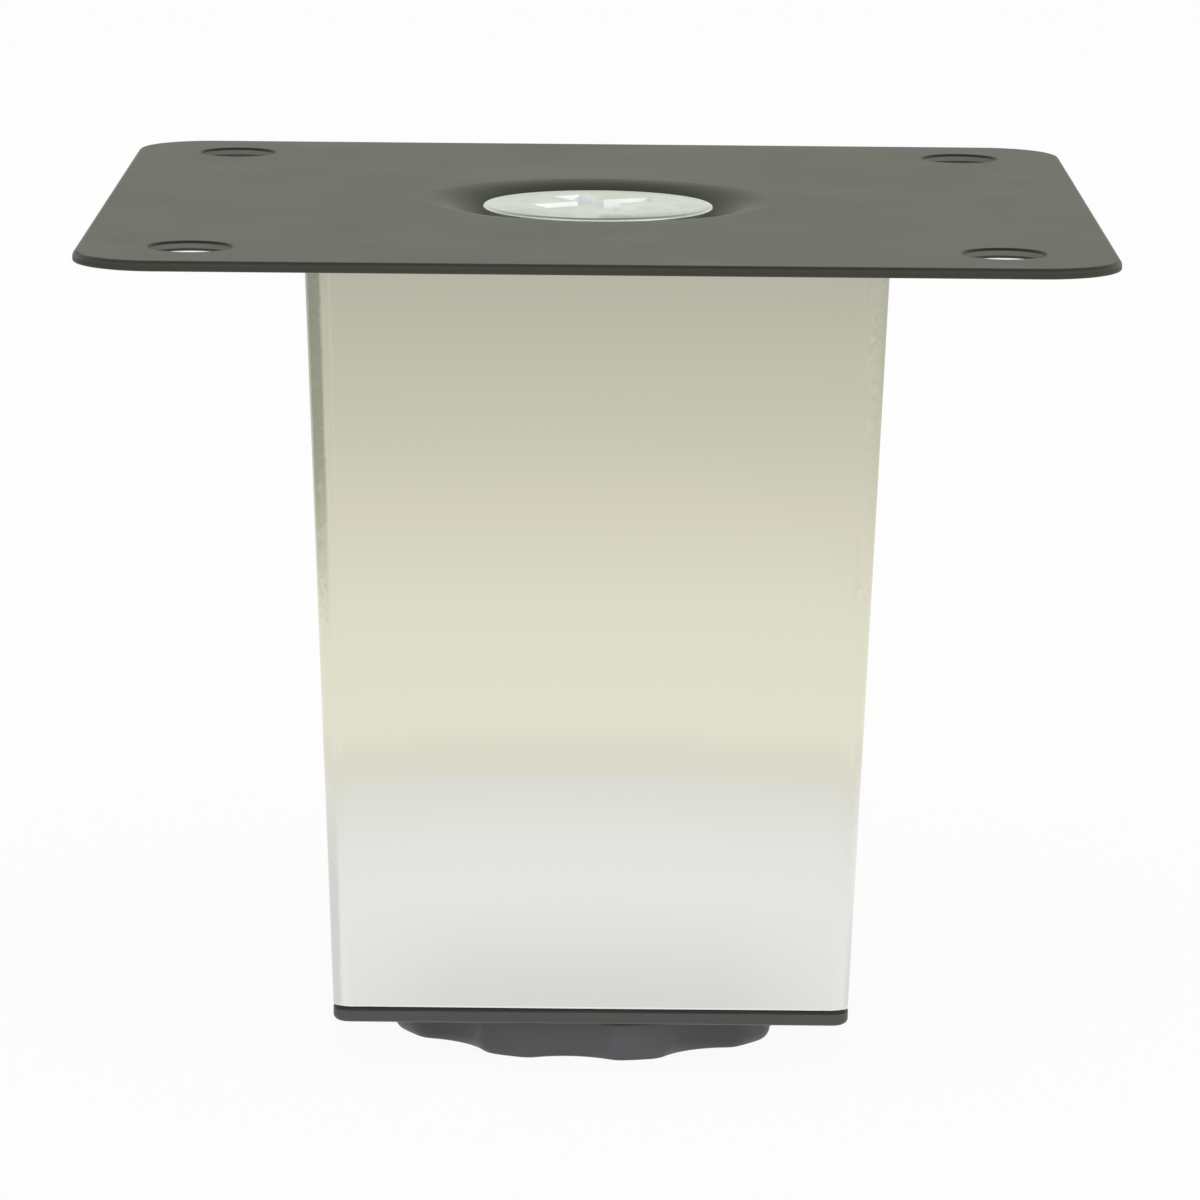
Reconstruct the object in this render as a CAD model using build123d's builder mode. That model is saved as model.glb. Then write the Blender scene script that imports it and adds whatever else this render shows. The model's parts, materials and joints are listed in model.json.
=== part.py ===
from build123d import *
import math
import os

# A square metal sofa leg: a thin pressed plate bolted on a tapered square tube,
# with a plastic end cap and a lobed screw foot below.
# Sizes are in millimetres. The origin is on the floor under the middle of the foot,
# +Z is up, and the tube's front face looks along -Y.

# Heights of the stack, from the floor up
total_height = 85.0
knob_height = 4.2
foot_gap = 0.8
flange_thickness = 1.5
plate_thickness = 1.0

# Mounting plate
plate_side = 100.0
plate_corner_radius = 8.0
plate_top_rounding = 0.5
plate_under_rounding = 0.2
screw_pitch = 78.0
screw_hole_radius = 4.0
screw_hole_draw_in = 0.3
screw_hole_breakout = 0.2

# Dish pressed in the middle of the plate
dish_wall_angle = 40.0
dish_floor_clearance = 0.2
dish_floor_bend = 1.0
dish_rim_bend = 8.0
dish_rim_margin = 1.0
bolt_hole_clearance = 0.35

# Clamp bolt, with a wide flat head that sinks into the dish
head_radius = 11.75
head_thickness = 2.05
head_crown = 0.2
head_edge_rounding = 0.35
head_sink = 0.25
bolt_radius = 4.95
bolt_length = 18.0
bolt_point = 1.0
recess_span = 13.4
recess_wing = 3.2
recess_depth = 1.5
recess_draft = 14.0
recess_turn = 29.0

# Tapered square tube
tube_top_width = 57.5
tube_bottom_width = 51.7
tube_top_corner = 2.6
tube_bottom_corner = 1.7
tube_wall = 1.2
tube_edge_rounding = 0.3

# Steel bridge welded across the tube near its top, and the nut under it
bridge_drop = 1.6
bridge_thickness = 2.5
bridge_width = 30.0
bridge_lip = 9.0
bridge_inner_bend = 1.0
weld_gap = 0.05
nut_flats = 17.0
nut_height = 8.0
nut_face_angle = 30.0
thread_clearance = 0.05

# End cap
skirt_clearance = 0.3
skirt_height = 13.0
skirt_wall = 2.0
skirt_lead_in = 0.35
skirt_corner = 0.6
crush_rib_width = 1.2
crush_rib_height = 7.0
crush_rib_spacing = 14.0
crush_rib_count = 3
crush_rib_gap = 0.03
boss_wall = 2.6
nut_pocket_clearance = 0.1
nut_recess = 0.3
pocket_roof = 3.0
passage_clearance = 1.2
web_thickness = 1.6
web_height = 8.0
shadow_groove = 0.25
flange_edge_rounding = 0.6

# Threaded stud of the foot, with a round head moulded into the knob
stud_radius = 4.95
stud_top = 30.0
stud_point = 1.0
stud_head_radius = 8.0
stud_head_thickness = 1.5
moulding_clearance = 0.05

# Lobed knob of the foot
knob_radius = 22.3
lobe_count = 10
lobe_turn = 13.0
scallop_radius = 7.5
scallop_depth = 1.7
lobe_rounding = 3.2
knob_floor = 1.0
knob_sole_rounding = 1.4
knob_top_rounding = 0.4
core_inner_radius = 10.8
core_outer_radius = 17.6
core_depth = 2.0
core_rib = 1.5

# Levels and widths that follow from the sizes above
cap_bottom = knob_height + foot_gap
tube_bottom = cap_bottom + flange_thickness
plate_bottom = total_height - plate_thickness
head_top = total_height - head_sink
dish_floor = head_top - head_thickness
dish_underside = dish_floor - plate_thickness
dish_drop = total_height - dish_floor
bridge_top = dish_underside - bridge_drop
bridge_bottom = bridge_top - bridge_thickness
cap_nut_bottom = cap_bottom + nut_recess
cap_nut_top = cap_nut_bottom + nut_height
nut_corner_radius = nut_flats / math.sqrt(3)
nut_bore_radius = bolt_radius + thread_clearance


def tube_half_width(z):
    """Half the tube's outer width at height z."""
    share = (z - tube_bottom) / (plate_bottom - tube_bottom)
    return (tube_bottom_width + (tube_top_width - tube_bottom_width) * share) / 2


def bore_half_width(z):
    """Half the tube's inner width at height z."""
    return tube_half_width(z) - tube_wall


def hex_nut(name, bottom):
    """A hexagon nut standing on the level bottom, with its corners turned off on both faces."""
    top = bottom + nut_height
    slant = (nut_corner_radius - nut_flats / 2) * math.tan(math.radians(nut_face_angle))
    with BuildPart() as nut:
        with BuildSketch(Plane.XY.offset(bottom)):
            RegularPolygon(nut_flats / 2, 6, major_radius=False)
            Circle(nut_bore_radius, mode=Mode.SUBTRACT)
        extrude(amount=nut_height)
        with BuildSketch(Plane.XZ):
            with BuildLine():
                Polyline(
                    (0, bottom),
                    (nut_flats / 2, bottom),
                    (nut_corner_radius, bottom + slant),
                    (nut_corner_radius, top - slant),
                    (nut_flats / 2, top),
                    (0, top),
                    close=True,
                )
            make_face()
        revolve(axis=Axis.Z, mode=Mode.INTERSECT)
    nut.part.label = name
    return nut.part


# Mounting plate: a flat sheet, then the dish as a revolved wall of the same thickness
bend_reach = math.tan(math.radians(dish_wall_angle) / 2)
dish_floor_radius = head_radius + dish_floor_clearance + dish_floor_bend * bend_reach
dish_mouth_radius = dish_floor_radius + dish_drop / math.tan(math.radians(dish_wall_angle))
dish_rim_radius = dish_mouth_radius + dish_rim_bend * bend_reach + dish_rim_margin
under_shift = plate_thickness * bend_reach
bolt_hole_radius = bolt_radius + bolt_hole_clearance

with BuildPart() as top_plate:
    with BuildSketch(Plane.XY.offset(plate_bottom)):
        RectangleRounded(plate_side, plate_side, plate_corner_radius)
        Circle(dish_rim_radius, mode=Mode.SUBTRACT)
    extrude(amount=plate_thickness)
    fillet(top_plate.faces().sort_by(Axis.Z)[-1].outer_wire().edges(), plate_top_rounding)
    fillet(top_plate.faces().sort_by(Axis.Z)[0].outer_wire().edges(), plate_under_rounding)
    with BuildSketch(Plane.XZ):
        with BuildLine():
            upper_side = FilletPolyline(
                (bolt_hole_radius, dish_floor),
                (dish_floor_radius, dish_floor),
                (dish_mouth_radius, total_height),
                (dish_rim_radius, total_height),
                radius=[dish_floor_bend, dish_rim_bend],
            )
            lower_side = FilletPolyline(
                (bolt_hole_radius, dish_underside),
                (dish_floor_radius + under_shift, dish_underside),
                (dish_mouth_radius + under_shift, plate_bottom),
                (dish_rim_radius, plate_bottom),
                radius=[dish_floor_bend + plate_thickness, dish_rim_bend - plate_thickness],
            )
            Line(upper_side @ 0, lower_side @ 0)
            Line(upper_side @ 1, lower_side @ 1)
        make_face()
    revolve(axis=Axis.Z)
    with BuildSketch(Plane.XY.offset(plate_bottom)):
        with GridLocations(screw_pitch, screw_pitch, 2, 2):
            Circle(screw_hole_radius)
    extrude(amount=plate_thickness, mode=Mode.SUBTRACT)
    hole_edges = top_plate.edges(Select.LAST).filter_by(GeomType.CIRCLE)
    fillet(hole_edges.group_by(Axis.Z)[-1], screw_hole_draw_in)
    chamfer(hole_edges.group_by(Axis.Z)[0], screw_hole_breakout)
top_plate.part.label = "top_plate"

# Clamp bolt: head and shank revolved in one, then the drafted cross recess
head_edge_top = head_top - head_crown
bolt_tip = dish_floor - bolt_length
with BuildPart() as clamp_bolt:
    with BuildSketch(Plane.XZ) as bolt_profile:
        with BuildLine():
            TangentArc((0, head_top), (head_radius, head_edge_top), tangent=(1, 0))
            Polyline(
                (head_radius, head_edge_top),
                (head_radius, dish_floor),
                (bolt_radius, dish_floor),
                (bolt_radius, bolt_tip + bolt_point),
                (bolt_radius - bolt_point, bolt_tip),
                (0, bolt_tip),
                (0, head_top),
            )
        make_face()
        head_corners = bolt_profile.vertices().group_by(Axis.X)[-1]
        fillet(head_corners.sort_by(Axis.Y)[-1], head_edge_rounding)
    revolve(axis=Axis.Z)
    with BuildSketch(Plane.XY.offset(head_top)):
        with Locations(Rotation(0, 0, recess_turn)):
            Rectangle(recess_span, recess_wing)
            Rectangle(recess_wing, recess_span)
    extrude(amount=-recess_depth, taper=recess_draft, mode=Mode.SUBTRACT)
clamp_bolt.part.label = "clamp_bolt"

# Tapered square tube: the outer shape and the bore are both lofted
with BuildPart() as square_tube:
    with BuildSketch(Plane.XY.offset(tube_bottom)):
        RectangleRounded(tube_bottom_width, tube_bottom_width, tube_bottom_corner)
    with BuildSketch(Plane.XY.offset(plate_bottom)):
        RectangleRounded(tube_top_width, tube_top_width, tube_top_corner)
    loft(ruled=True)
    fillet(square_tube.faces().filter_by(Axis.Z).edges(), tube_edge_rounding)
    with BuildSketch(Plane.XY.offset(tube_bottom)):
        bottom_bore = 2 * bore_half_width(tube_bottom)
        RectangleRounded(bottom_bore, bottom_bore, tube_bottom_corner - tube_wall)
    with BuildSketch(Plane.XY.offset(plate_bottom)):
        top_bore = 2 * bore_half_width(plate_bottom)
        RectangleRounded(top_bore, top_bore, tube_top_corner - tube_wall)
    loft(ruled=True, mode=Mode.SUBTRACT)
square_tube.part.label = "square_tube"

# Bridge: a strip with both ends turned down along the tube's sloping walls
lip_bottom = bridge_bottom - bridge_lip
with BuildPart() as tube_bridge:
    with BuildSketch(Plane.XZ):
        with BuildLine():
            outer_top = bore_half_width(bridge_top) - weld_gap
            outer_bottom = bore_half_width(lip_bottom) - weld_gap
            inner_top = bore_half_width(bridge_bottom) - weld_gap - bridge_thickness
            inner_bottom = outer_bottom - bridge_thickness
            outside = FilletPolyline(
                (-outer_bottom, lip_bottom),
                (-outer_top, bridge_top),
                (outer_top, bridge_top),
                (outer_bottom, lip_bottom),
                radius=bridge_inner_bend + bridge_thickness,
            )
            inside = FilletPolyline(
                (-inner_bottom, lip_bottom),
                (-inner_top, bridge_bottom),
                (inner_top, bridge_bottom),
                (inner_bottom, lip_bottom),
                radius=bridge_inner_bend,
            )
            Line(outside @ 0, inside @ 0)
            Line(outside @ 1, inside @ 1)
        make_face()
    extrude(amount=bridge_width / 2, both=True)
    with BuildSketch(Plane.XY.offset(bridge_bottom)):
        Circle(nut_bore_radius)
    extrude(amount=bridge_thickness, mode=Mode.SUBTRACT)
tube_bridge.part.label = "tube_bridge"

weld_nut = hex_nut("weld_nut", bridge_bottom - nut_height)
cap_nut = hex_nut("cap_nut", cap_nut_bottom)

# End cap: flange, tapered skirt, crush ribs, and a boss on webs that holds the nut
skirt_half_width = bore_half_width(tube_bottom) - skirt_clearance
web_reach = 2 * skirt_half_width - skirt_wall
pocket_apothem = nut_flats / 2 + nut_pocket_clearance
boss_radius = pocket_apothem / math.cos(math.radians(30)) + boss_wall
boss_top = cap_nut_top + pocket_roof

with BuildPart() as end_cap:
    with BuildSketch(Plane.XY.offset(cap_bottom)):
        RectangleRounded(tube_bottom_width, tube_bottom_width, tube_bottom_corner)
    extrude(amount=flange_thickness - shadow_groove)
    fillet(end_cap.faces().sort_by(Axis.Z)[0].edges(), flange_edge_rounding)
    with BuildSketch(Plane.XY.offset(tube_bottom - shadow_groove)):
        groove_width = tube_bottom_width - 2 * shadow_groove
        RectangleRounded(groove_width, groove_width, tube_bottom_corner - shadow_groove)
    extrude(amount=shadow_groove)
    with BuildSketch(Plane.XY.offset(tube_bottom)):
        RectangleRounded(2 * skirt_half_width, 2 * skirt_half_width, skirt_corner)
    with BuildSketch(Plane.XY.offset(tube_bottom + skirt_height)):
        lead_width = 2 * (skirt_half_width - skirt_lead_in)
        RectangleRounded(lead_width, lead_width, skirt_corner)
    loft(ruled=True)
    with BuildSketch(Plane.XY.offset(tube_bottom)):
        hollow_width = 2 * (skirt_half_width - skirt_wall)
        Rectangle(hollow_width, hollow_width)
    extrude(amount=skirt_height, mode=Mode.SUBTRACT)
    with BuildSketch(Plane.XY.offset(tube_bottom)):
        rib_reach = 2 * (bore_half_width(tube_bottom) - crush_rib_gap)
        with GridLocations(0, crush_rib_spacing, 1, crush_rib_count):
            Rectangle(rib_reach, crush_rib_width)
        with GridLocations(crush_rib_spacing, 0, crush_rib_count, 1):
            Rectangle(crush_rib_width, rib_reach)
        Rectangle(web_reach, web_reach, mode=Mode.SUBTRACT)
    extrude(amount=crush_rib_height)
    with BuildSketch(Plane.XY.offset(tube_bottom)):
        Rectangle(web_reach, web_thickness)
        Rectangle(web_thickness, web_reach)
    extrude(amount=web_height)
    with BuildSketch(Plane.XY.offset(tube_bottom)):
        Circle(boss_radius)
    extrude(amount=boss_top - tube_bottom)
    with BuildSketch(Plane.XY.offset(cap_bottom)):
        RegularPolygon(pocket_apothem, 6, major_radius=False)
    extrude(amount=cap_nut_top - cap_bottom, mode=Mode.SUBTRACT)
    with BuildSketch(Plane.XY.offset(cap_nut_top)):
        Circle(stud_radius + passage_clearance)
    extrude(amount=pocket_roof, mode=Mode.SUBTRACT)
end_cap.part.label = "end_cap"

# Adjuster stud: its round head is held inside the knob
stud_bottom = knob_floor + moulding_clearance
stud_shoulder = stud_bottom + stud_head_thickness
with BuildPart() as adjuster_stud:
    with BuildSketch(Plane.XZ):
        with BuildLine():
            Polyline(
                (0, stud_bottom),
                (stud_head_radius, stud_bottom),
                (stud_head_radius, stud_shoulder),
                (stud_radius, stud_shoulder),
                (stud_radius, stud_top - stud_point),
                (stud_radius - stud_point, stud_top),
                (0, stud_top),
                close=True,
            )
        make_face()
    revolve(axis=Axis.Z)
adjuster_stud.part.label = "adjuster_stud"

# Foot knob: a scalloped disc, cored from below between ribs, around the stud's head
valley_turn = lobe_turn - 90 + 180 / lobe_count
scallop_distance = knob_radius - scallop_depth + scallop_radius
with BuildPart() as foot_knob:
    with BuildSketch() as knob_outline:
        with Locations(Rotation(0, 0, valley_turn)):
            Circle(knob_radius)
        with PolarLocations(scallop_distance, lobe_count, start_angle=valley_turn):
            Circle(scallop_radius, mode=Mode.SUBTRACT)
        fillet(knob_outline.vertices(), lobe_rounding)
    extrude(amount=knob_height)
    fillet(foot_knob.faces().sort_by(Axis.Z)[0].edges(), knob_sole_rounding)
    fillet(foot_knob.faces().sort_by(Axis.Z)[-1].edges(), knob_top_rounding)
    with BuildSketch():
        Circle(core_outer_radius)
        Circle(core_inner_radius, mode=Mode.SUBTRACT)
        with PolarLocations(core_outer_radius, lobe_count, start_angle=valley_turn):
            Rectangle(core_outer_radius, core_rib, mode=Mode.SUBTRACT)
    extrude(amount=core_depth, mode=Mode.SUBTRACT)
    with BuildSketch(Plane.XY.offset(knob_floor)):
        Circle(stud_head_radius + moulding_clearance)
    extrude(amount=stud_head_thickness + 2 * moulding_clearance, mode=Mode.SUBTRACT)
    with BuildSketch(Plane.XY.offset(knob_floor)):
        Circle(stud_radius + moulding_clearance)
    extrude(amount=knob_height - knob_floor, mode=Mode.SUBTRACT)
foot_knob.part.label = "foot_knob"

os.makedirs("parts", exist_ok=True)
export_step(top_plate.part, "parts/top_plate.step")
export_step(clamp_bolt.part, "parts/clamp_bolt.step")
export_step(square_tube.part, "parts/square_tube.step")
export_step(tube_bridge.part, "parts/tube_bridge.step")
export_step(weld_nut, "parts/weld_nut.step")
export_step(end_cap.part, "parts/end_cap.step")
export_step(cap_nut, "parts/cap_nut.step")
export_step(adjuster_stud.part, "parts/adjuster_stud.step")
export_step(foot_knob.part, "parts/foot_knob.step")
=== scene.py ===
import bmesh
import bpy
import json
import math
from mathutils import Matrix, Vector


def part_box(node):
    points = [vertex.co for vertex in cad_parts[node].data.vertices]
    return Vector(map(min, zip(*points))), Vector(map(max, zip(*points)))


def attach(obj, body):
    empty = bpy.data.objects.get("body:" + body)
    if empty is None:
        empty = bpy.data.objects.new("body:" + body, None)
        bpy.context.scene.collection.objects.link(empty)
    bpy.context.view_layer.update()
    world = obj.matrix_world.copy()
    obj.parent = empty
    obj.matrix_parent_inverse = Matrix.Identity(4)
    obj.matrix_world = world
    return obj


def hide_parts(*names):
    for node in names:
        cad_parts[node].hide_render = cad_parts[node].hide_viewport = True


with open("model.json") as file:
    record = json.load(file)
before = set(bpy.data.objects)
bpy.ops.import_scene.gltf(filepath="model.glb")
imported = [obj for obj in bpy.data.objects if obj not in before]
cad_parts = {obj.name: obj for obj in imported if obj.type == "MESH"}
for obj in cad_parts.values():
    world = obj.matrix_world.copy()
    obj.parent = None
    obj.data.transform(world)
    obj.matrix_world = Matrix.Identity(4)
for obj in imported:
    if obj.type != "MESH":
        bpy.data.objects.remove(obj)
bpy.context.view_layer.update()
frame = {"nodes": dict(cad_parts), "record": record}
record = frame["record"]
nodes = frame["nodes"]
mm = 0.001
print("frame loaded with", len(nodes), "CAD nodes")


class Wire:
    # an output socket that can be used in plain arithmetic
    def __init__(self, sheet, socket):
        self.sheet = sheet
        self.socket = socket

    def calc(self, operation, *values):
        return self.sheet.add("ShaderNodeMath", {"operation": operation}, dict(enumerate(values)))

    def __add__(self, other):
        return self.calc("ADD", self, other)

    def __radd__(self, other):
        return self.calc("ADD", other, self)

    def __sub__(self, other):
        return self.calc("SUBTRACT", self, other)

    def __rsub__(self, other):
        return self.calc("SUBTRACT", other, self)

    def __mul__(self, other):
        return self.calc("MULTIPLY", self, other)

    def __rmul__(self, other):
        return self.calc("MULTIPLY", other, self)

    def __truediv__(self, other):
        return self.calc("DIVIDE", self, other)

    def __gt__(self, other):
        return self.calc("GREATER_THAN", self, other)

    def __lt__(self, other):
        return self.calc("LESS_THAN", self, other)

    def __neg__(self):
        return self.calc("SUBTRACT", 0.0, self)

    def __abs__(self):
        return self.calc("ABSOLUTE", self)

    def root(self):
        return self.calc("SQRT", self)

    def largest(self, other):
        return self.calc("MAXIMUM", self, other)

    def smallest(self, other):
        return self.calc("MINIMUM", self, other)


class NodeSheet:
    # the node tree of one material or world
    def __init__(self, owner):
        owner.use_nodes = True
        self.tree = owner.node_tree
        self.tree.nodes.clear()

    def add(self, kind, settings=None, sockets=None, output=0):
        node = self.tree.nodes.new(kind)
        for name, value in (settings or {}).items():
            if name == "stops":
                self.setStops(node.color_ramp, value)
            else:
                setattr(node, name, value)
        for name, value in (sockets or {}).items():
            if isinstance(value, Wire):
                self.tree.links.new(value.socket, node.inputs[name])
            else:
                node.inputs[name].default_value = value
        return Wire(self, node.outputs[output]) if len(node.outputs) else node

    def setStops(self, ramp, stops):
        while len(ramp.elements) < len(stops):
            ramp.elements.new(1.0)
        for element, (position, colour) in zip(ramp.elements, stops):
            element.position = position
            element.color = (*colour, 1.0)

    def place(self):
        return self.add("ShaderNodeTexCoord", output="Object")

    def axes(self, vector):
        parts = self.add("ShaderNodeSeparateXYZ", None, {0: vector})
        outputs = parts.socket.node.outputs
        return [Wire(self, outputs[i]) for i in range(3)]

    def stretch(self, vector, scale):
        return self.add("ShaderNodeVectorMath", {"operation": "MULTIPLY"}, {0: vector, 1: scale})

    def noise(self, vector, scale, detail):
        sockets = {"Vector": vector, "Scale": scale, "Detail": detail}
        return self.add("ShaderNodeTexNoise", None, sockets, "Fac")

    def between(self, wire, ends):
        # 0 at the first end, 1 at the second
        share = (wire - ends[0]) / (ends[1] - ends[0])
        return share.largest(0.0).smallest(1.0)

    def ramp(self, factor, stops):
        return self.add("ShaderNodeValToRGB", {"stops": stops}, {"Fac": factor}, "Color")

    def mixColour(self, factor, first, second):
        return self.add("ShaderNodeMix", {"data_type": "RGBA"},
                        {"Factor": factor, 6: first, 7: second}, 2)

    def bump(self, height, distance, normal=None):
        sockets = {"Distance": distance, "Height": height}
        if normal:
            sockets["Normal"] = normal
        return self.add("ShaderNodeBump", None, sockets, "Normal")

    def finish(self, shader, kind="ShaderNodeOutputMaterial"):
        self.add(kind, None, {"Surface": shader})


def rgba(colour):
    return (*colour, 1.0)


def newMaterial(name):
    material = bpy.data.materials.new(name)
    return material, NodeSheet(material)


photoCamera = {
    "place": (0.00056, -0.6247, 0.1624),  # in front of the leg, a little above its plate
    "pitchDown": 10.78,
    "roll": 0.52,
    "focalPixels": 6161,
    "framePixels": 1200,
    "sensorWidth": 36.0,
}


def aimCamera(view):
    data = bpy.data.cameras.new("photoCamera")
    data.sensor_width = view["sensorWidth"]
    data.lens = view["focalPixels"] / view["framePixels"] * view["sensorWidth"]
    camera = bpy.data.objects.new("photoCamera", data)
    tilt = Matrix.Rotation(math.radians(90 - view["pitchDown"]), 4, "X")
    roll = Matrix.Rotation(math.radians(view["roll"]), 4, "Z")
    camera.matrix_world = Matrix.Translation(view["place"]) @ tilt @ roll
    bpy.context.collection.objects.link(camera)
    bpy.context.scene.camera = camera


aimCamera(photoCamera)
bpy.context.scene.view_settings.view_transform = "Standard"
print("camera set")


stage = {
    "floorReach": 4.0,
    "floorSides": 96,
    "floorColour": (0.84, 0.835, 0.81),
    "cameraWhite": 0.94,       # share of plain white that the camera sees on the floor
    "mirrorShare": 0.94,       # share of the graded tone that metal sees on the floor
    "toneReach": 500.0 * mm,   # from the foot to the last tone
    "mirrorTones": [           # distance from the foot in mm, and the tone there
        (0, (1.00, 1.00, 1.00)),
        (52, (0.99, 0.98, 0.985)),
        (86, (1.00, 1.00, 0.99)),
        (100, (0.98, 0.99, 0.975)),
        (127, (0.90, 0.90, 0.855)),
        (131, (0.885, 0.878, 0.765)),
        (140, (0.89, 0.875, 0.75)),
        (150, (0.95, 0.94, 0.795)),
        (205, (0.915, 0.90, 0.745)),
        (256, (0.81, 0.788, 0.65)),
        (310, (0.70, 0.688, 0.555)),
        (402, (0.575, 0.565, 0.465)),
        (500, (0.50, 0.495, 0.41)),
    ],
    "footShade": 0.13,         # how much darker the floor is close in front of each side
    "footShadeStart": (34.0 * mm, 44.0 * mm),
    "footShadeReach": (50.0 * mm, 84.0 * mm),
    "footShadeWidth": (14.0 * mm, 30.0 * mm),
    "leftShade": 0.46,         # how much darker the far floor is on the left
    "leftShadeReach": (198.0 * mm, 286.0 * mm),
    "leftNearShade": 0.19,     # and the floor close by
    "leftNearReach": (96.0 * mm, 126.0 * mm),
    "leftNearStart": (22.0 * mm, 32.0 * mm),  # none under the foot
    "leftSides": (0.70, 0.88),  # how far round to the left it lies, behind the leg
    "leftFront": (0.54, 0.73),  # and in front of it
    "shadeColour": (0.0, 0.05, 0.0),
    "skyTones": [              # from the horizon to straight up
        (0.00, (0.99, 1.00, 0.89)),
        (0.10, (0.95, 0.98, 0.86)),
        (0.25, (0.82, 0.86, 0.74)),
        (0.50, (0.52, 0.55, 0.47)),
        (0.80, (0.26, 0.27, 0.23)),
        (1.00, (0.20, 0.21, 0.175)),
    ],
    "skyFill": 0.75,           # what lights the matt surfaces from all round
    "boxGlow": (1.0, 1.0, 0.95),  # what metal mirrors of the soft boxes in front
    "boxFront": (0.15, 0.35),
    "boxLow": (0.08, 0.22),
    "boxHigh": (0.64, 0.84),
    "lampTarget": (0.0, 0.0, 40.0 * mm),
}


def buildFloor(look):
    mesh = bpy.data.meshes.new("floor")
    shape = bmesh.new()
    bmesh.ops.create_circle(
        shape, cap_ends=True, segments=look["floorSides"], radius=look["floorReach"])
    shape.to_mesh(mesh)
    shape.free()
    floor = bpy.data.objects.new("floor", mesh)
    bpy.context.collection.objects.link(floor)
    material, sheet = newMaterial("studioFloor")
    x, y = sheet.axes(sheet.place())[:2]
    distance = (x * x + y * y).root()
    reach = look["toneReach"]
    stops = [(place * mm / reach, colour) for place, colour in look["mirrorTones"]]
    tone = sheet.ramp(distance / reach, stops)
    # the darker floor lies to the left, neither far behind nor far in front
    behind = sheet.between(-x / distance, look["leftSides"]) * (y > 0.0)
    front = (1.0 - sheet.between(-y / distance, look["leftFront"])) * (y < 0.0) * (x < 0.0)
    farShade = sheet.between(distance, look["leftShadeReach"]) * look["leftShade"]
    nearShade = (1.0 - sheet.between(distance, look["leftNearReach"])) * look["leftNearShade"]
    nearShade = nearShade * sheet.between(distance, look["leftNearStart"])
    left = behind.largest(front) * farShade.largest(nearShade)
    # and a little of it close to the middle of each side of the foot
    middle = 1.0 - sheet.between(abs(x).smallest(abs(y)), look["footShadeWidth"])
    close = 1.0 - sheet.between(distance, look["footShadeReach"])
    outside = sheet.between(distance, look["footShadeStart"])
    shade = left.largest(close * middle * outside * look["footShade"])
    tone = sheet.mixColour(shade, tone, rgba(look["shadeColour"]))
    seen = sheet.add("ShaderNodeLightPath", output="Is Camera Ray")
    rays = seen.socket.node.outputs
    glossy, passing = Wire(sheet, rays["Is Glossy Ray"]), Wire(sheet, rays["Is Transmission Ray"])
    mirror = glossy.largest(passing) * look["mirrorShare"]
    below = sheet.add("ShaderNodeNewGeometry", output="Backfacing")
    matte = sheet.add("ShaderNodeBsdfDiffuse", None, {"Color": rgba(look["floorColour"])})
    glow = sheet.add("ShaderNodeEmission", None, {"Color": tone, "Strength": 1.0})
    top = sheet.add("ShaderNodeMixShader", None, {0: mirror, 1: matte, 2: glow})
    # the white behind shows through, so that a lowered foot and the underside can be seen
    clear = sheet.add("ShaderNodeBsdfTransparent")
    through = (seen * look["cameraWhite"]).largest(below)
    sheet.finish(sheet.add("ShaderNodeMixShader", None, {0: through, 1: top, 2: clear}))
    mesh.materials.append(material)


def buildSky(look):
    world = bpy.data.worlds.new("studioSky")
    bpy.context.scene.world = world
    sheet = NodeSheet(world)
    direction = sheet.add("ShaderNodeTexCoord", output="Generated")
    y, z = sheet.axes(direction)[1:]
    tone = sheet.ramp(z.largest(0.0), look["skyTones"])
    glow = sheet.between(-y, look["boxFront"]) * sheet.between(z, look["boxLow"])
    glow = glow * (1.0 - sheet.between(z, look["boxHigh"]))
    tone = sheet.mixColour(glow, tone, rgba(look["boxGlow"]))
    seen = sheet.add("ShaderNodeLightPath", output="Is Camera Ray")
    diffuse = Wire(sheet, seen.socket.node.outputs["Is Diffuse Ray"])
    tone = sheet.mixColour(diffuse, tone, rgba([look["skyFill"]] * 3))
    colour = sheet.mixColour(seen, tone, rgba((1.0, 1.0, 1.0)))
    light = sheet.add("ShaderNodeBackground", None, {"Color": colour, "Strength": 1.0})
    sheet.finish(light, "ShaderNodeOutputWorld")


# the sky's glow stands in metal for the lamps that it doesn't mirror
lamps = {
    "overhead": {
        "place": (0.1, -0.1, 1.7), "size": 2.0, "watts": 3.0,
        "colour": (1.0, 1.0, 0.98), "mirrored": False},
    "frontLeft": {
        "place": (-1.1, -1.3, 1.1), "size": 2.6, "watts": 8.8,
        "colour": (1.0, 0.99, 0.96), "mirrored": False},
    "frontRight": {
        "place": (1.2, -1.2, 1.0), "size": 2.6, "watts": 8.4,
        "colour": (1.0, 1.0, 0.98), "mirrored": False},
    "sparkle": {  # low on the right, for the walls of the bolt's recess
        "place": (1.31, -0.79, 0.55), "size": 0.8, "watts": 0.62,
        "colour": (1.0, 1.0, 0.86), "mirrored": True},
}


def hangLamps(settings, target):
    for name, lamp in settings.items():
        data = bpy.data.lights.new(name, "AREA")
        data.size = lamp["size"]
        data.energy = lamp["watts"]
        data.color = lamp["colour"]
        light = bpy.data.objects.new(name, data)
        light.location = lamp["place"]
        aim = Vector(target) - light.location
        light.rotation_euler = aim.to_track_quat("-Z", "Y").to_euler()
        light.visible_glossy = lamp["mirrored"]
        bpy.context.collection.objects.link(light)


buildFloor(stage)
buildSky(stage)
hangLamps(lamps, stage["lampTarget"])
print("stage and lamps set")


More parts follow.
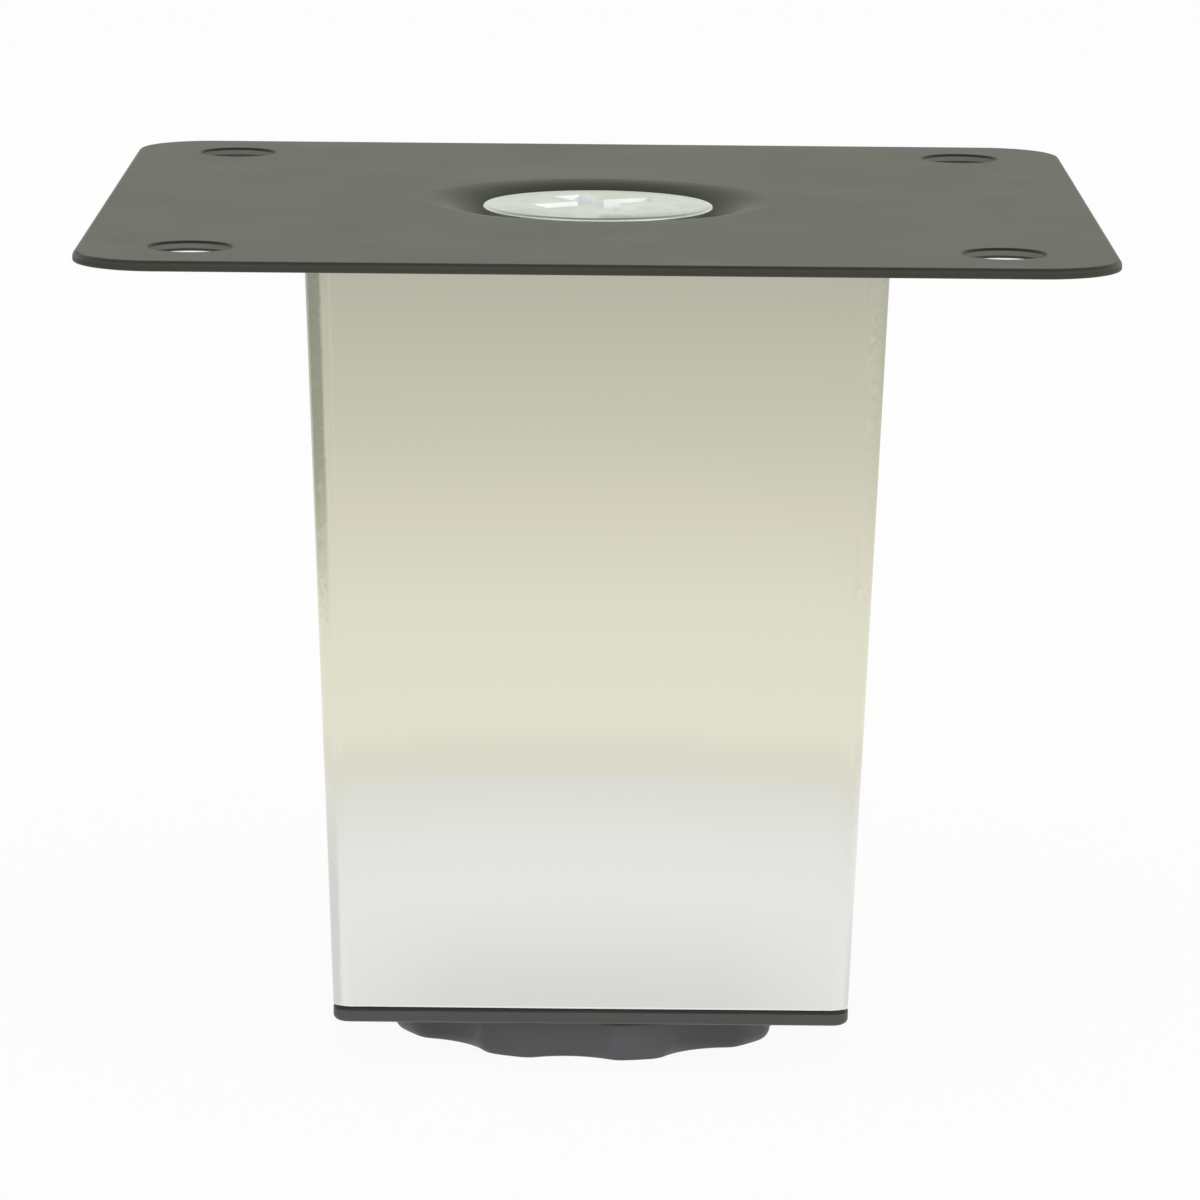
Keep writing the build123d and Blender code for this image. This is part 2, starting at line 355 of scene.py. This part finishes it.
blackPaint = {
    "colour": (0.022, 0.0235, 0.0185),
    "dust": (0.062, 0.065, 0.053),
    "thinPaintAndReflection": (0.135, 0.140, 0.122),  # thinner paint inside the screw holes, lightened further by a painted reflection of the bright floor below
    "wallReflectionLevels": (84.28 * mm, 84.74 * mm),
    "wallDepth": 0.06 * mm,    # a wall's points lie this near to the hole's radius
    "holeEdgeShade": (0.010, 0.0105, 0.0085),  # painted shade on their drawn-in edges and at the top and bottom of the holes' walls
    "holeEdgeShadeWidth": 0.32 * mm,
    "roughness": 0.42,
    "cloudSize": 70.0,
    "cloudDust": 0.2,
    "cloudRoughness": 0.08,
    "grainSize": 2600.0,
    "grainLevel": 0.72,        # only the noise above this is a grain of dust
    "grainDust": 0.25,
    "peelSize": 900.0,
    "peelHeight": 0.004 * mm,
}


def paintBlack(look):
    material, sheet = newMaterial("blackPaint")
    place = sheet.place()
    cloud = sheet.noise(place, look["cloudSize"], 4.0)
    grains = sheet.noise(place, look["grainSize"], 2.0) > look["grainLevel"]
    dust = grains * look["grainDust"] + cloud * look["cloudDust"]
    colour = sheet.mixColour(dust, rgba(look["colour"]), rgba(look["dust"]))
    x, y, z = sheet.axes(place)
    holes = record["mounts"][0]["dims"]
    across = abs(x) - holes["spacing_x_mm"] * mm / 2
    along = abs(y) - holes["spacing_y_mm"] * mm / 2
    outward = (across * across + along * along).root() - holes["hole_r_mm"] * mm
    # painted shade along the screw holes' drawn-in edges and down their walls
    colour = sheet.mixColour(outward < look["holeEdgeShadeWidth"], colour, rgba(look["holeEdgeShade"]))
    # thinner paint and a painted reflection of the bright floor lighten the middle of each hole's
    # wall
    low, high = look["wallReflectionLevels"]
    wallReflection = (outward < look["wallDepth"]) * (z > low) * (z < high)
    colour = sheet.mixColour(wallReflection, colour, rgba(look["thinPaintAndReflection"]))
    rough = look["roughness"] + (cloud - 0.5) * look["cloudRoughness"]
    peel = sheet.bump(sheet.noise(place, look["peelSize"], 2.0), look["peelHeight"])
    sheet.finish(sheet.add("ShaderNodeBsdfPrincipled", None, {
        "Base Color": colour, "Roughness": rough, "Normal": peel}))
    return material


chromePlate = {
    "colour": (0.80, 0.80, 0.775),
    "bareSteel": (0.34, 0.335, 0.33),
    "bareRoughness": 0.38,     # added to the chrome's
    "roughness": 0.03,
    "smearSize": 55.0,
    "smearStretch": (1.0, 1.0, 0.25),
    "smearHaze": 0.021,        # added to the roughness
    "scuffSize": 2200.0,
    "scuffStretch": (1.0, 1.0, 0.02),
    "scuffHaze": 0.014,
    "rippleSize": 45.0,
    "rippleHeight": 0.004 * mm,
    "rimHeight": 0.36 * mm,    # the cut lower edge is rolled over, with a painted highlight along it
    "rimRounding": 0.12 * mm,
    "rimHighlight": (0.98, 0.98, 0.97),
    "bottomHalf": 25.85 * mm,
    "topHalf": 28.75 * mm,
    "bottomCorner": 1.7 * mm,
    "topCorner": 2.6 * mm,
    "bottomLevel": 6.5 * mm,
    "topLevel": 84.0 * mm,
    "skin": 0.6 * mm,          # deeper than this below the outside, the steel is bare
}


def plateChrome(look):
    material, sheet = newMaterial("chromePlate")
    place = sheet.place()
    x, y, z = sheet.axes(place)
    rise = (z - look["bottomLevel"]) / (look["topLevel"] - look["bottomLevel"])
    corner = look["bottomCorner"] + rise * (look["topCorner"] - look["bottomCorner"])
    straight = look["bottomHalf"] + rise * (look["topHalf"] - look["bottomHalf"]) - corner
    across = (abs(x) - straight).largest(0.0)
    along = (abs(y) - straight).largest(0.0)
    inside = corner - (across * across + along * along).root() > look["skin"]
    smear = sheet.noise(sheet.stretch(place, look["smearStretch"]), look["smearSize"], 4.0)
    scuffs = sheet.noise(sheet.stretch(place, look["scuffStretch"]), look["scuffSize"], 2.0)
    rough = look["roughness"] + smear * look["smearHaze"] + scuffs * look["scuffHaze"]
    rough = rough + inside * look["bareRoughness"]
    rim = sheet.between(z, (look["bottomLevel"], look["bottomLevel"] + look["rimHeight"]))
    # a painted highlight, near white, along the rolled lower edge
    colour = sheet.mixColour(rim, rgba(look["rimHighlight"]), rgba(look["colour"]))
    colour = sheet.mixColour(inside, colour, rgba(look["bareSteel"]))
    ripple = sheet.bump(sheet.noise(place, look["rippleSize"], 2.0), look["rippleHeight"])
    rolled = sheet.bump(rim, look["rimRounding"], ripple)
    sheet.finish(sheet.add("ShaderNodeBsdfPrincipled", None, {
        "Base Color": colour, "Metallic": 1.0, "Roughness": rough, "Normal": rolled}))
    return material


zincPlate = {
    "colour": (0.89, 0.905, 0.94),
    "dull": (0.75, 0.77, 0.80),
    "roughness": 0.20,
    "cloudSize": 160.0,
    "cloudRoughness": 0.12,
    "crystalSize": 700.0,
    "crystalRoughness": 0.08,
    "waveSize": 240.0,
    "waveHeight": 0.03 * mm,
}


def plateZinc(look):
    material, sheet = newMaterial("zincPlate")
    place = sheet.place()
    cells = {"Vector": place, "Scale": look["crystalSize"]}
    crystal = sheet.add("ShaderNodeTexVoronoi", None, cells, "Distance")
    cloud = sheet.noise(place, look["cloudSize"], 3.0)
    colour = sheet.mixColour(cloud, rgba(look["colour"]), rgba(look["dull"]))
    rough = look["roughness"] + cloud * look["cloudRoughness"]
    rough = rough + crystal * look["crystalRoughness"]
    waves = sheet.bump(sheet.noise(place, look["waveSize"], 2.0), look["waveHeight"])
    sheet.finish(sheet.add("ShaderNodeBsdfPrincipled", None, {
        "Base Color": colour, "Metallic": 1.0, "Roughness": rough, "Normal": waves}))
    return material


pressedSteel = {
    "colour": (0.40, 0.40, 0.405),
    "stain": (0.22, 0.215, 0.22),
    "roughness": 0.34,
    "stainSize": 90.0,
    "stainRoughness": 0.1,
    "streakSize": 1500.0,
    "streakStretch": (0.05, 1.0, 1.0),
    "streakRoughness": 0.15,
    "streakHeight": 0.01 * mm,
}


def rollSteel(look):
    material, sheet = newMaterial("pressedSteel")
    place = sheet.place()
    streaks = sheet.noise(sheet.stretch(place, look["streakStretch"]), look["streakSize"], 3.0)
    stain = sheet.noise(place, look["stainSize"], 5.0)
    colour = sheet.mixColour(stain, rgba(look["colour"]), rgba(look["stain"]))
    rough = look["roughness"] + streaks * look["streakRoughness"] + stain * look["stainRoughness"]
    sheet.finish(sheet.add("ShaderNodeBsdfPrincipled", None, {
        "Base Color": colour, "Metallic": 1.0, "Roughness": rough,
        "Normal": sheet.bump(streaks, look["streakHeight"])}))
    return material


def mouldPlastic(name, look):
    material, sheet = newMaterial(name)
    place = sheet.place()
    grain = sheet.noise(place, look["grainSize"], 2.0)
    cloud = sheet.noise(place, look["cloudSize"], 3.0)
    colour = sheet.mixColour(cloud, rgba(look["colour"]), rgba(look["pale"]))
    z = sheet.axes(place)[2]
    # a painted shadow line at one height: in the cap's joint with the tube, and along the knob's
    # sole
    paintedShadow = 1.0 - sheet.between(abs(z - look["paintedShadowLevel"]), look["paintedShadowFade"])
    colour = sheet.mixColour(paintedShadow, colour, rgba(look["paintedShadow"]))
    rough = look["roughness"] + cloud * look["cloudRoughness"]
    sheet.finish(sheet.add("ShaderNodeBsdfPrincipled", None, {
        "Base Color": colour, "Roughness": rough,
        "Normal": sheet.bump(grain, look["grainHeight"])}))
    return material


capPlastic = {
    "colour": (0.054, 0.054, 0.054),
    "pale": (0.070, 0.070, 0.069),
    "roughness": 0.42,
    "cloudSize": 120.0,
    "cloudRoughness": 0.08,
    "grainSize": 5200.0,
    "grainHeight": 0.006 * mm,
    "paintedShadow": (0.010, 0.010, 0.010),
    "paintedShadowLevel": 6.5 * mm,     # a painted shadow line in the joint with the tube
    "paintedShadowFade": (0.132 * mm, 0.22 * mm),
}
knobPlastic = {
    "colour": (0.101, 0.104, 0.113),
    "pale": (0.120, 0.123, 0.132),
    "roughness": 0.46,
    "cloudSize": 120.0,
    "cloudRoughness": 0.08,
    "grainSize": 4200.0,
    "grainHeight": 0.008 * mm,
    "paintedShadow": (0.028, 0.029, 0.031),
    "paintedShadowLevel": 0.0,          # a painted contact shadow along the sole
    "paintedShadowFade": (0.33 * mm, 0.55 * mm),
}


def dress(material, *names):
    for name in names:
        for slot in nodes[name].material_slots:
            slot.material = material


zinc = plateZinc(zincPlate)
dress(paintBlack(blackPaint), "top_plate")
dress(plateChrome(chromePlate), "square_tube")
dress(zinc, "clamp_bolt", "weld_nut", "cap_nut", "adjuster_stud")
dress(rollSteel(pressedSteel), "tube_bridge")
dress(mouldPlastic("capPlastic", capPlastic), "end_cap")
dress(mouldPlastic("knobPlastic", knobPlastic), "foot_knob")
print("finishes set")


meshing = {
    "weldDistance": 0.0005 * mm,
    "sharpAngle": math.radians(32),
}


def addPiece(name, shape, material, body):
    # welds the loose points, marks the sharp edges and hands the piece to the frame
    bmesh.ops.remove_doubles(shape, verts=shape.verts, dist=meshing["weldDistance"])
    bmesh.ops.recalc_face_normals(shape, faces=shape.faces)
    for face in shape.faces:
        face.smooth = True
    for edge in shape.edges:
        edge.smooth = edge.calc_face_angle(0.0) < meshing["sharpAngle"]
    mesh = bpy.data.meshes.new(name)
    shape.to_mesh(mesh)
    shape.free()
    mesh.materials.append(material)
    piece = bpy.data.objects.new(name, mesh)
    bpy.context.collection.objects.link(piece)
    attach(piece, body)
    return piece


def ring(shape, radius, level, steps):
    angles = [math.tau * step / steps for step in range(steps)]
    return [shape.verts.new((radius * math.cos(a), radius * math.sin(a), level)) for a in angles]


def joinRings(shape, rings):
    for low, high in zip(rings, rings[1:]):
        for i in range(len(low)):
            j = (i + 1) % len(low)
            shape.faces.new((low[i], low[j], high[j], high[i]))


screwThread = {
    "crest": 4.95 * mm,
    "pitch": 1.5 * mm,
    "depth": 0.81 * mm,
    "profile": [               # share of the pitch, share of the depth
        (0.00, 0.10), (0.03, 0.00), (0.095, 0.00), (0.125, 0.10),
        (0.43, 0.95), (0.46, 1.00), (0.66, 1.00), (0.69, 0.95),
    ],
    "aroundSteps": 64,
    "runOut": 1.8 * mm,        # over this length the thread starts at the plain neck
    "point": 1.0 * mm,         # the chamfer at the tip
}


def rollThread(shape, look, neck, tip):
    # a right-hand thread from the plain neck to the chamfered tip
    low, high = min(neck, tip), max(neck, tip)
    steps = look["aroundSteps"]
    rows = []
    for turn in range(-1, math.ceil((high - low) / look["pitch"]) + 1):
        for share, drop in look["profile"]:
            row = []
            for step in range(steps):
                climb = (turn + share + step / steps) * look["pitch"]
                level = min(max(low + climb, low), high)
                started = min(abs(level - neck) / look["runOut"], 1.0)
                radius = look["crest"] - drop * look["depth"] * started
                radius = min(radius, look["crest"] - look["point"] + abs(tip - level))
                angle = math.tau * step / steps
                place = (radius * math.cos(angle), radius * math.sin(angle), level)
                row.append(shape.verts.new(place))
            rows.append(row)
    for low, high in zip(rows, rows[1:]):
        for i in range(steps - 1):
            shape.faces.new((low[i], low[i + 1], high[i + 1], high[i]))
    lead = len(look["profile"])  # a full turn ends this many rows further on
    for i in range(len(rows) - 1 - lead):
        ahead = i + lead
        shape.faces.new((rows[i][-1], rows[ahead][0], rows[ahead + 1][0], rows[i + 1][-1]))
    shape.faces.new(rows[-1] if tip > neck else rows[0])


footStud = {
    "headRadius": 8.0 * mm,
    "headThickness": 1.5 * mm,
}


def makeFootStud(look, thread):
    low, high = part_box("adjuster_stud")
    shoulder = low[2] + look["headThickness"]
    head = look["headRadius"]
    shape = bmesh.new()
    rollThread(shape, thread, shoulder, high[2])
    profile = [(thread["crest"], shoulder), (head, shoulder), (head, low[2])]
    rings = [ring(shape, radius, level, thread["aroundSteps"]) for radius, level in profile]
    joinRings(shape, rings)
    shape.faces.new(rings[-1])
    stud = addPiece("threadedStud", shape, zinc, "stud")
    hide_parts("adjuster_stud")


makeFootStud(footStud, screwThread)


clampBolt = {
    "headThickness": 2.05 * mm,
    "cutMargin": 0.1 * mm,     # the plain shank is cut off this far below the head
}


def makeClampBolt(look, thread):
    # the pressed head keeps the frame's own shape and gets a threaded shank
    low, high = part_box("clamp_bolt")
    seat = high[2] - look["headThickness"]
    shape = bmesh.new()
    shape.from_mesh(nodes["clamp_bolt"].data)
    shank = [vert for vert in shape.verts if vert.co.z < seat - look["cutMargin"]]
    bmesh.ops.delete(shape, geom=shank, context="VERTS")
    rollThread(shape, thread, seat, low[2])
    bolt = addPiece("threadedBolt", shape, zinc, "leg")
    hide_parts("clamp_bolt")


makeClampBolt(clampBolt, screwThread)
print("threads cut")
